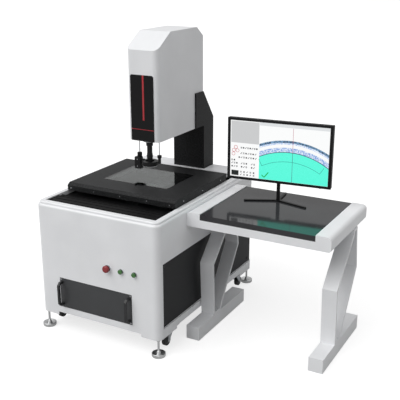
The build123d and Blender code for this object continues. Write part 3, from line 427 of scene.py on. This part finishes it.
FLOOR_WIDTH_M = 60
bpy.ops.object.select_all(action="DESELECT")
bpy.ops.mesh.primitive_plane_add(size=FLOOR_WIDTH_M, location=(0, 0, 0))
floor = bpy.context.object
floor.name = "floor"
floor_finish, floor_tree = new_finish("studio_floor")
matt = add_node(floor_tree, "ShaderNodeBsdfDiffuse", values={"Color": srgb("#a8a8a8")})
shine = add_node(floor_tree, "ShaderNodeEmission", values={"Color": (1, 1, 1, 1)},
                 links={"Strength": by_ray(floor_tree, matt=0.0, gloss=0.2, seen=0.72)})
both = add_node(floor_tree, "ShaderNodeAddShader", links={0: matt.outputs[0], 1: shine.outputs[0]})
add_node(floor_tree, "ShaderNodeOutputMaterial", links={"Surface": both.outputs[0]})
floor.data.materials.append(floor_finish)
bpy.ops.object.select_all(action="DESELECT")

# Modelling, as by hand: a primitive is shaped in edit mode, finished, put in place, set riding.
# HAIR is how near, in metres, a face or an edge lies to the place that it is picked by.
HAIR = 1e-5


def clear():
    """Leaves nothing selected, in object mode."""
    if bpy.context.object is not None and bpy.context.object.mode != "OBJECT":
        bpy.ops.object.mode_set(mode="OBJECT")
    bpy.ops.object.select_all(action="DESELECT")


def only(*pieces):
    """Selects these pieces; the first one is active."""
    clear()
    for piece in pieces:
        piece.select_set(True)
    bpy.context.view_layer.objects.active = pieces[0]


def pick(kind, test):
    """In edit mode, selects the faces or edges whose middle and direction pass the test."""
    bpy.ops.mesh.select_mode(type=kind)
    bpy.ops.mesh.select_all(action="DESELECT")
    mesh = bmesh.from_edit_mesh(bpy.context.object.data)
    if kind == "FACE":
        for face in mesh.faces:
            face.select_set(test(face.calc_center_median(), face.normal))
    else:
        for edge in mesh.edges:
            start, end = edge.verts[0].co, edge.verts[1].co
            edge.select_set(test((start + end) / 2, (end - start).normalized()))
    bmesh.update_edit_mesh(bpy.context.object.data)


def stamp(spot, turn=(0, 0, 0)):
    """Turns and moves the piece just made, and puts that in its mesh."""
    piece = bpy.context.object
    only(piece)
    piece.rotation_euler = turn
    piece.location = spot
    bpy.ops.object.transform_apply(location=True, rotation=True, scale=True)
    return piece


def facing(way):
    """The turn that makes a piece modelled facing up face that way."""
    return Vector(way).to_track_quat("Z", "Y").to_euler()


def keep(name, body, finish):
    """Names the finished piece, gives it its finish and sets it riding on its body."""
    piece = bpy.context.object
    only(piece)
    bpy.ops.object.shade_smooth_by_angle(angle=math.radians(32))
    piece.name = name
    piece.data.name = name
    piece.data.materials.clear()
    piece.data.materials.append(finish)
    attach(piece, body)
    clear()
    return piece


def join(pieces):
    """Makes one piece of these."""
    only(*pieces)
    if len(pieces) > 1:
        bpy.ops.object.join()
    return bpy.context.object


def repeat(spots):
    """Copies the active piece to each (spot, turn), each copy with its own mesh, and joins them."""
    model = bpy.context.object
    copies = []
    for spot, turn in spots:
        twin = model.copy()
        twin.data = model.data.copy()
        bpy.context.scene.collection.objects.link(twin)
        bpy.context.view_layer.objects.active = twin
        copies.append(stamp(spot, turn))
    only(model)
    bpy.ops.object.delete()
    return join(copies)


# Where a piece's own sizes are counted from, as a spot and a turn.
# The monitor's spot is on the floor, below the middle of its front.
# An unplaced piece is made round the origin and moved afterwards.
CABINET = (place(0, 0, 0), (0, 0, 0))
MONITOR = (place(MONITOR_X, MONITOR_Y, 0), (0, 0, MONITOR_YAW))
UNPLACED = ((0, 0, 0), (0, 0, 0))


def slab(x, y, z, round_mm=0.5, segments=2, base=CABINET):
    """A block between two x, two y and two z values in mm, with its edges rounded."""
    clear()
    bpy.ops.mesh.primitive_cube_add(size=1, location=[sum(pair) / 2000 for pair in (x, y, z)])
    bpy.context.object.scale = [(pair[1] - pair[0]) / 1000 for pair in (x, y, z)]
    bpy.ops.object.transform_apply(location=True, rotation=False, scale=True)
    bpy.ops.object.mode_set(mode="EDIT")
    bpy.ops.mesh.select_all(action="SELECT")
    bpy.ops.mesh.bevel(offset=round_mm / 1000, segments=segments, affect="EDGES")
    bpy.ops.object.mode_set(mode="OBJECT")
    return stamp(*base)


def cap(radius, height, sides=32, rim=0.6, well=0.0, well_share=0.6):
    """A turned cap that stands on the origin, in mm: rim rounded, its top sunk inside a ring."""
    clear()
    bpy.ops.mesh.primitive_cylinder_add(vertices=sides, radius=radius / 1000,
                                        depth=height / 1000, location=(0, 0, height / 2000))
    bpy.ops.object.transform_apply(location=True, rotation=True, scale=True)
    bpy.ops.object.mode_set(mode="EDIT")
    top = height / 1000 - HAIR
    pick("EDGE", lambda middle, along: middle.z > top)
    bpy.ops.mesh.bevel(offset=rim / 1000, segments=3, affect="EDGES")
    if well:
        pick("FACE", lambda middle, normal: normal.z > 0.99 and middle.z > top)
        bpy.ops.mesh.inset(thickness=radius * (1 - well_share) / 1000)
        bpy.ops.mesh.extrude_region_move(TRANSFORM_OT_translate={"value": (0, 0, well / 1000)})
    bpy.ops.object.mode_set(mode="OBJECT")
    return bpy.context.object


def knurled(radius, height, flutes, depth, wall):
    """A turned grip that stands on the origin, in mm: upright flutes, chamfered ends and a bore."""
    chamfer = 1
    narrowed = 0.95
    clear()
    bpy.ops.mesh.primitive_cylinder_add(vertices=flutes * 4, radius=radius / 1000,
                                        depth=(height - 2 * chamfer) / 1000,
                                        location=(0, 0, height / 2000), end_fill_type="NOTHING")
    bpy.ops.object.transform_apply(location=True, rotation=True, scale=True)
    bpy.ops.object.mode_set(mode="EDIT")
    # Two of every four upright edges are sunk, which leaves a land and a groove for each flute.
    step = math.tau / (flutes * 4)
    pick("EDGE", lambda middle, along: abs(along.z) > 0.9
         and round(math.atan2(middle.y, middle.x) / step) % 4 in (0, 1))
    slim = (radius - depth) / radius
    bpy.ops.transform.resize(value=(slim, slim, 1), center_override=(0, 0, 0))
    bottom, top = chamfer / 1000, height / 1000 - chamfer / 1000
    for end, rise in ((bottom, -chamfer / 1000), (top, chamfer / 1000)):
        pick("EDGE", lambda middle, along: abs(middle.z - end) < HAIR and abs(along.z) < 0.1)
        bpy.ops.mesh.extrude_region_move(TRANSFORM_OT_translate={"value": (0, 0, rise)})
        bpy.ops.transform.resize(value=(narrowed, narrowed, 1), center_override=(0, 0, 0))
    bpy.ops.object.mode_set(mode="OBJECT")
    thick = bpy.context.object.modifiers.new("wall", "SOLIDIFY")
    thick.thickness = wall / 1000
    thick.offset = -1
    bpy.ops.object.modifier_apply(modifier="wall")
    return bpy.context.object


def screws(name, body, radius, height, spots):
    """Button-head screws with a socket for the key, modelled once; a spot is (x, y, z, its way)."""
    cap(radius, height, sides=24, rim=height * 0.4, well=-height * 0.5, well_share=0.7)
    repeat([(place(x, y, z), facing(way)) for x, y, z, way in spots])
    keep(name, body, BRIGHT_STEEL)


TO_FRONT, TO_BACK, TO_LEFT, TO_RIGHT = (0, -1, 0), (0, 1, 0), (-1, 0, 0), (1, 0, 0)
UP, DOWN = (0, 0, 1), (0, 0, -1)

# Stage plate: small bright screws along its four walls.
STAGE_LEFT, STAGE_RIGHT, STAGE_FRONT, STAGE_BACK = 40, 760, 240, 845
FRONT_SCREW_Z = 786
WALL_SCREW_Z = 792
stage_spots = [(x, STAGE_FRONT, FRONT_SCREW_Z, TO_FRONT) for x in (64, 226, 402, 578, 724)]
stage_spots += [(x, STAGE_BACK, WALL_SCREW_Z, TO_BACK) for x in (90, 400, 710)]
for wall_x, way in ((STAGE_RIGHT, TO_RIGHT), (STAGE_LEFT, TO_LEFT)):
    stage_spots += [(wall_x, y, WALL_SCREW_Z, way) for y in (330, 545, 770)]
screws("stage_screws", "stage", radius=3.2, height=1.4, spots=stage_spots)

# Front cover of the ways: beads pressed along it, across the well.
# A bead has its front, its back and the height of the step that it lies on.
WELL_X = (42, 758)
BEADS = ((66, 70, 764), (106, 110, 764), (143, 149.5, 764), (184, 189.5, 757))
for number, (front, back, step_z) in enumerate(BEADS, 1):
    slab(WELL_X, (front, back), (step_z - 1, step_z + 2.2), round_mm=0.9)
    keep(f"way_cover_bead_{number}", "machine", COVER_BLACK)

# Black trim of the head: one thin red line across it.
slab((325.8, 477.2), (490.2, 491.1), (1114.4, 1117.6), round_mm=0.2)
keep("trim_line", "machine", RED_ACRYLIC)

# Zoom ring and clamp knobs: fluted grips in the places of their plain solids.
# The lens and the two rods beside it stand in one row.
LENS_X, LENS_Y = 402, 560
LEFT_ROD_X, RIGHT_ROD_X = 332, 468
knurled(20.0, 19.7, flutes=36, depth=0.7, wall=5.6)
stamp(place(LENS_X, LENS_Y, 1008))
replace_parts(keep("zoom_grip", "zoom", OPTIC_BLACK), "zoom_ring")
knurled(14.0, 28.0, flutes=22, depth=0.9, wall=9.6)
left_knob = stamp(place(LEFT_ROD_X, LENS_Y, 932))
knurled(13.0, 14.0, flutes=20, depth=0.9, wall=8.6)
right_knob = stamp(place(RIGHT_ROD_X, LENS_Y, 943))
join([right_knob, left_knob])
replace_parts(keep("clamp_grips", "ring_light", OPTIC_BLACK), "ring_light_knobs")

# Objective: a fluted collar. Slider and flange of the lens: clamp screws.
knurled(18.4, 13.0, flutes=30, depth=0.5, wall=1.2)
stamp(place(LENS_X, LENS_Y, 938))
keep("objective_grip", "z_axis", OPTIC_BLACK)
screws("slider_screws", "ring_light", radius=3.4, height=2.4,
       spots=[(324, 545, z, TO_FRONT) for z in (876, 918)])
SCREW_CIRCLE = 29
FLANGE_UNDERSIDE = 1034
screws("flange_screws", "z_axis", radius=2.2, height=1.4,
       spots=[(LENS_X + SCREW_CIRCLE * math.cos(turn), LENS_Y + SCREW_CIRCLE * math.sin(turn),
               FLANGE_UNDERSIDE, DOWN) for turn in (0.4, 1.97, 3.54, 5.11)])

# Rack computer: bright rack screws at the panel's corners.
screws("rack_screws", "rack_pc", radius=4.2, height=1.8,
       spots=[(x, 0, z, TO_FRONT) for x in (151, 618) for z in (166, 327)])

# Cabinet: screws round the rear door, a filter mat behind its slots, locks on the side panels.
CABINET_BACK = 1154
SIDE_PANEL_LEFT, SIDE_PANEL_RIGHT = 12, 788
door_spots = [(x, CABINET_BACK, z, TO_BACK) for x in (126, 400, 674) for z in (186, 574)]
door_spots += [(x, CABINET_BACK, 380, TO_BACK) for x in (126, 674)]
screws("rear_door_screws", "machine", radius=4.5, height=2.2, spots=door_spots)
slab((150, 650), (1142.5, 1146.8), (210, 550), round_mm=1.0)
keep("dust_filter", "machine", RUBBER)
cap(9.0, 3.0, rim=0.9, well=-0.8, well_share=0.55)
repeat([(place(x, y, z), facing(way))
        for x, way in ((SIDE_PANEL_RIGHT, TO_RIGHT), (SIDE_PANEL_LEFT, TO_LEFT))
        for y in (72, 1108) for z in (178, 510)])
keep("side_panel_locks", "machine", BLACK_ABS)

# Head, rear cover: air louvres one above the other, and screws at its corners.
HEAD_BACK = 1020
LOUVRES = 12
LOUVRE_LOW, LOUVRE_HIGH, LOUVRE_PITCH = 1330, 1338, 16
join([slab((338, 466), (HEAD_BACK - 0.5, HEAD_BACK + 2.5),
           (LOUVRE_LOW + LOUVRE_PITCH * step, LOUVRE_HIGH + LOUVRE_PITCH * step), round_mm=1.2)
      for step in range(LOUVRES)])
keep("head_louvres", "machine", WHITE)
screws("head_cover_screws", "machine", radius=4.0, height=2.0,
       spots=[(x, HEAD_BACK, z, TO_BACK) for x in (315, 489) for z in (1285, 1585)])

# Feet: hexagon locknuts under the cabinet.
cap(11.0, 8.0, sides=6, rim=0.8)
repeat([(place(x, y, 88), (0, 0, 0.3)) for x in (25, 775) for y in (25, 1129)])
keep("foot_locknuts", "machine", FOOT_STEEL)

# Casters: axle nuts outside the fork's cheeks.
AXLE_Z = 42
CHEEK = 18
CASTERS = {"front_left": (40, 128), "front_right": (760, 128),
           "back_left": (40, 1026), "back_right": (760, 1026)}
for caster, (x, y) in CASTERS.items():
    cap(7.0, 4.0, sides=6, rim=0.6)
    repeat([(place(x + CHEEK, y, AXLE_Z), facing(TO_RIGHT)),
            (place(x - CHEEK, y, AXLE_Z), facing(TO_LEFT))])
    keep(f"axle_nuts_{caster}", f"fork_{caster}", FOOT_STEEL)

# Monitor: the picture on its screen is thin layers laid on the lit face, in plain shapes only.
# On the monitor u runs across from its middle, v back from its front and z up, in mm.
# A layer of a higher level lies nearer to the eye.
FACE_V = 1
LAYER = 0.12
LAYER_ROUND = 0.03
PICTURE_U = (-111.5, 281.8)
PICTURE_Z = (868.5, 1172)
# The arcs' shared middle, and how far they reach to either side of upright, in degrees.
ARC_U = 60.0
ARC_Z = 644.0
ARC_REACH = 50
ARC_STEPS = 80


def on_monitor(u, v, z):
    """A point on the monitor, in metres, before the monitor is put in its place."""
    return u / 1000, v / 1000, z / 1000


def on_screen(u, z, level):
    """The same for a point halfway through a layer on the lit face."""
    return on_monitor(u, FACE_V - LAYER * (level + 0.5), z)


def screen_patch(u, z, level):
    """One flat patch of the picture, between two u and two z values."""
    return slab(u, (FACE_V - LAYER * (level + 1), FACE_V - LAYER * level), z, LAYER_ROUND, 1,
                MONITOR)


def screen_plate(name, u, z, level, finish):
    """A flat patch that is a piece by itself."""
    screen_patch(u, z, level)
    return keep(name, "monitor", finish)


def screen_bar(u, z, across, along, lean):
    """One narrow bar of the picture, turned about the point (u, z) that its sizes start from."""
    slab(across, (-LAYER / 2, LAYER / 2), along, LAYER_ROUND, 1, UNPLACED)
    stamp(on_screen(u, z, 1), (0, lean, 0))
    return stamp(*MONITOR)


def screen_ring(u, z):
    """One open ring of the picture."""
    radius, wall = 10.5, 2.2
    clear()
    bpy.ops.mesh.primitive_cylinder_add(vertices=40, radius=radius / 1000, depth=LAYER / 1000,
                                        end_fill_type="NOTHING")
    thick = bpy.context.object.modifiers.new("wall", "SOLIDIFY")
    thick.thickness = wall / 1000
    bpy.ops.object.modifier_apply(modifier="wall")
    stamp(on_screen(u, z, 1), (math.pi / 2, 0, 0))
    return stamp(*MONITOR)


def screen_arc(name, r_in, r_out, level, finish, u=PICTURE_U):
    """One curved band of the picture, swept round the arcs' middle and trimmed to its frame."""
    clear()
    bpy.ops.mesh.primitive_plane_add(size=1)
    bpy.context.object.scale = ((r_out - r_in) / 1000, LAYER / 1000, 1)
    bpy.ops.object.transform_apply(scale=True)
    stamp(((r_in + r_out) / 2000, 0, 0))
    stamp((0, 0, 0), (0, math.radians(-ARC_REACH - 90), 0))
    bpy.ops.object.mode_set(mode="EDIT")
    bpy.ops.mesh.select_all(action="SELECT")
    # The spin turns from left to right for a negative angle.
    bpy.ops.mesh.spin(steps=ARC_STEPS, angle=-math.radians(2 * ARC_REACH), center=(0, 0, 0),
                      axis=(0, 1, 0))
    bpy.ops.mesh.select_all(action="SELECT")
    bpy.ops.mesh.remove_doubles(threshold=1e-6)
    bpy.ops.object.mode_set(mode="OBJECT")
    stamp(on_screen(ARC_U, ARC_Z, level))
    bpy.ops.object.mode_set(mode="EDIT")
    for cut_u, cut_z, way in ((u[0], 0, TO_LEFT), (u[1], 0, TO_RIGHT),
                              (0, PICTURE_Z[0], DOWN), (0, PICTURE_Z[1], UP)):
        bpy.ops.mesh.select_all(action="SELECT")
        bpy.ops.mesh.bisect(plane_co=on_monitor(cut_u, 0, cut_z), plane_no=way, use_fill=True,
                            clear_outer=True)
    bpy.ops.mesh.select_all(action="SELECT")
    bpy.ops.mesh.normals_make_consistent(inside=False)
    bpy.ops.object.mode_set(mode="OBJECT")
    stamp(*MONITOR)
    return keep(name, "monitor", finish)


# The grey view at the top left, the bar over the picture, and the picture's coloured arcs.
SPECKLE_MM = 7
screen_plate("screen_view", (-278, -114), (1064, 1187), 0,
             lit_panel("screen_lit_grey", "#c9cacb", "#c6c7c8"))
screen_plate("screen_title", PICTURE_U, (1173, 1190.5), 0,
             lit_panel("screen_lit_title", "#dfe2e4", "#d8dbdd"))
screen_arc("screen_arc_dark", 445, 458, 0,
           lit_panel("screen_lit_navy", "#7fa8cc", "#0c2c4a", SPECKLE_MM))
screen_arc("screen_arc_haze", 436, 445, 0,
           lit_panel("screen_lit_haze", "#f1f6fd", "#9fbce8", SPECKLE_MM))
screen_arc("screen_arc_light", 393.5, 418, 0,
           lit_panel("screen_lit_sky", "#e6effb", "#6d96d8", SPECKLE_MM))
screen_arc("screen_arc_edge", 390, 393.5, 0, lit_panel("screen_lit_ink", "#3a4a4e", "#22323a"))
screen_arc("screen_disc", 150, 390, 0, lit_panel("screen_lit_teal", "#5efbe0", "#4ff4d4"))

# The thin measuring arc over them, a short bar at each of its ends, and the upright cross line.
SCREEN_LINE = lit_panel("screen_lit_line", "#2b8f86", "#1f7d75")
GAUGE_IN, GAUGE_OUT, GAUGE_BAR_OUT = 337.4, 339.6, 380
screen_arc("screen_gauge", GAUGE_IN, GAUGE_OUT, 1, SCREEN_LINE, u=(-95, 236))
join([screen_bar(ARC_U, ARC_Z, (-1.1, 1.1), (GAUGE_IN, GAUGE_BAR_OUT), lean)
      for lean in (-0.475, 0.545)])
keep("screen_gauge_ends", "monitor", SCREEN_LINE)
screen_plate("screen_cross_red", (79.0, 81.0), (1034.5, PICTURE_Z[1]), 1,
             lit_panel("screen_lit_rose", "#c0506a", "#a8405a"))
screen_plate("screen_cross_grey", (78.8, 81.2), (PICTURE_Z[0], 1034), 1,
             lit_panel("screen_lit_slate", "#4f6a7c", "#41586c"))

# Rows of small plain marks at the left: two bars, a square and two dots in turn.
# A mark's parts are (left, right, low, high) from its middle; a row is its z and its marks' u.
TWO_BARS = ((-4.6, 4.6, 1.2, 4.4), (-4.6, 4.6, -4.4, -1.2))
SQUARE = ((-4.2, 4.2, -4.2, 4.2),)
TWO_DOTS = ((-4.6, 0, -4.6, 0), (0.2, 4.6, 0.2, 4.6))
MARKS = (TWO_BARS, SQUARE, TWO_DOTS)
ICON_ROWS = (
    (1037, (-217, -204, -191, -178, -165, -152, -139, -126)),
    (1005, (-217, -203, -189, -175, -161, -147, -133)),
    (981, (-229, -215, -201, -187, -173, -159, -145, -131)),
    (963, (-272, -258)),
    (946, (-271, -257, -243, -214, -200, -186, -154, -140)),
    (926, (-271, -257, -243, -214, -200, -186, -154, -140)),
    (897, (-218, -199, -180, -161, -142)),
    (881, (-218, -199, -180, -161, -142)),
)
join([screen_patch((mark_u + left, mark_u + right), (mark_z + low, mark_z + high), 0)
      for row, (mark_z, columns) in enumerate(ICON_ROWS)
      for column, mark_u in enumerate(columns)
      for left, right, low, high in MARKS[(row * 2 + column) % 3]])
keep("screen_icons", "monitor", lit_panel("screen_lit_charcoal", "#2d3033", "#1c1f22"))

# Red rings beside the marks, and the dark read-out with its green tick at the bottom.
join([screen_ring(u, z) for u, z in ((-250, 1038), (-262, 1019), (-240, 1019), (-264, 999))])
keep("screen_rings", "monitor", lit_panel("screen_lit_red", "#c8404e", "#b5303f"))
screen_plate("screen_readout", (-275, -232), (874, 903), 0,
             lit_panel("screen_lit_black", "#101815", "#0a100e"))
join([screen_bar(u, z, (-half, half), (-2.8, 2.8), lean)
      for u, z, half, lean in ((-88, 886, 9, 0.75), (-68, 895, 20, -0.9))])
keep("screen_tick", "monitor", lit_panel("screen_lit_green", "#12b848", "#0da53e"))

# Monitor, rear: air slats, a thick shell with a channel for the stand, a socket cover and screws.
SLATS = 9
SLAT_LOW, SLAT_HIGH, SLAT_PITCH = 1112, 1114.4, 5
SHELL_LOW, SHELL_HIGH = 853.5, 1204.5
HUMP_BACK = 38
join([slab((-130, 130), (HUMP_BACK - 0.5, HUMP_BACK + 1.5),
           (SLAT_LOW + SLAT_PITCH * step, SLAT_HIGH + SLAT_PITCH * step), 0.8, 2, MONITOR)
      for step in range(SLATS)])
keep("monitor_slats", "monitor", BEZEL_ABS)
join([slab(u, (13.5, 34), z, 4.0, 3, MONITOR)
      for u, z in (((-298.9, -40), (SHELL_LOW, SHELL_HIGH)), ((40, 298.9), (SHELL_LOW, SHELL_HIGH)),
                   ((-60, 60), (1052, SHELL_HIGH)))])
keep("monitor_back_shell", "monitor", BEZEL_ABS)
slab((-160, -60), (33, 37), (1022, 1049.6), 1.5, 3, MONITOR)
keep("monitor_socket_cover", "monitor", BEZEL_ABS)
cap(3.2, 1.4, sides=24, rim=0.5, well=-0.6, well_share=0.6)
repeat([(on_monitor(u, HUMP_BACK, z), facing(TO_BACK)) for u in (-50, 50) for z in (1062, 1104)])
stamp(*MONITOR)
keep("monitor_screws", "monitor", BRIGHT_STEEL)

# Monitor, below: the key under its frame, at the right.
cap(5.0, 2.5, sides=24, rim=0.8)
stamp(on_monitor(240, 7, 853), facing(DOWN))
stamp(*MONITOR)
keep("monitor_key", "monitor", BLACK_ABS)
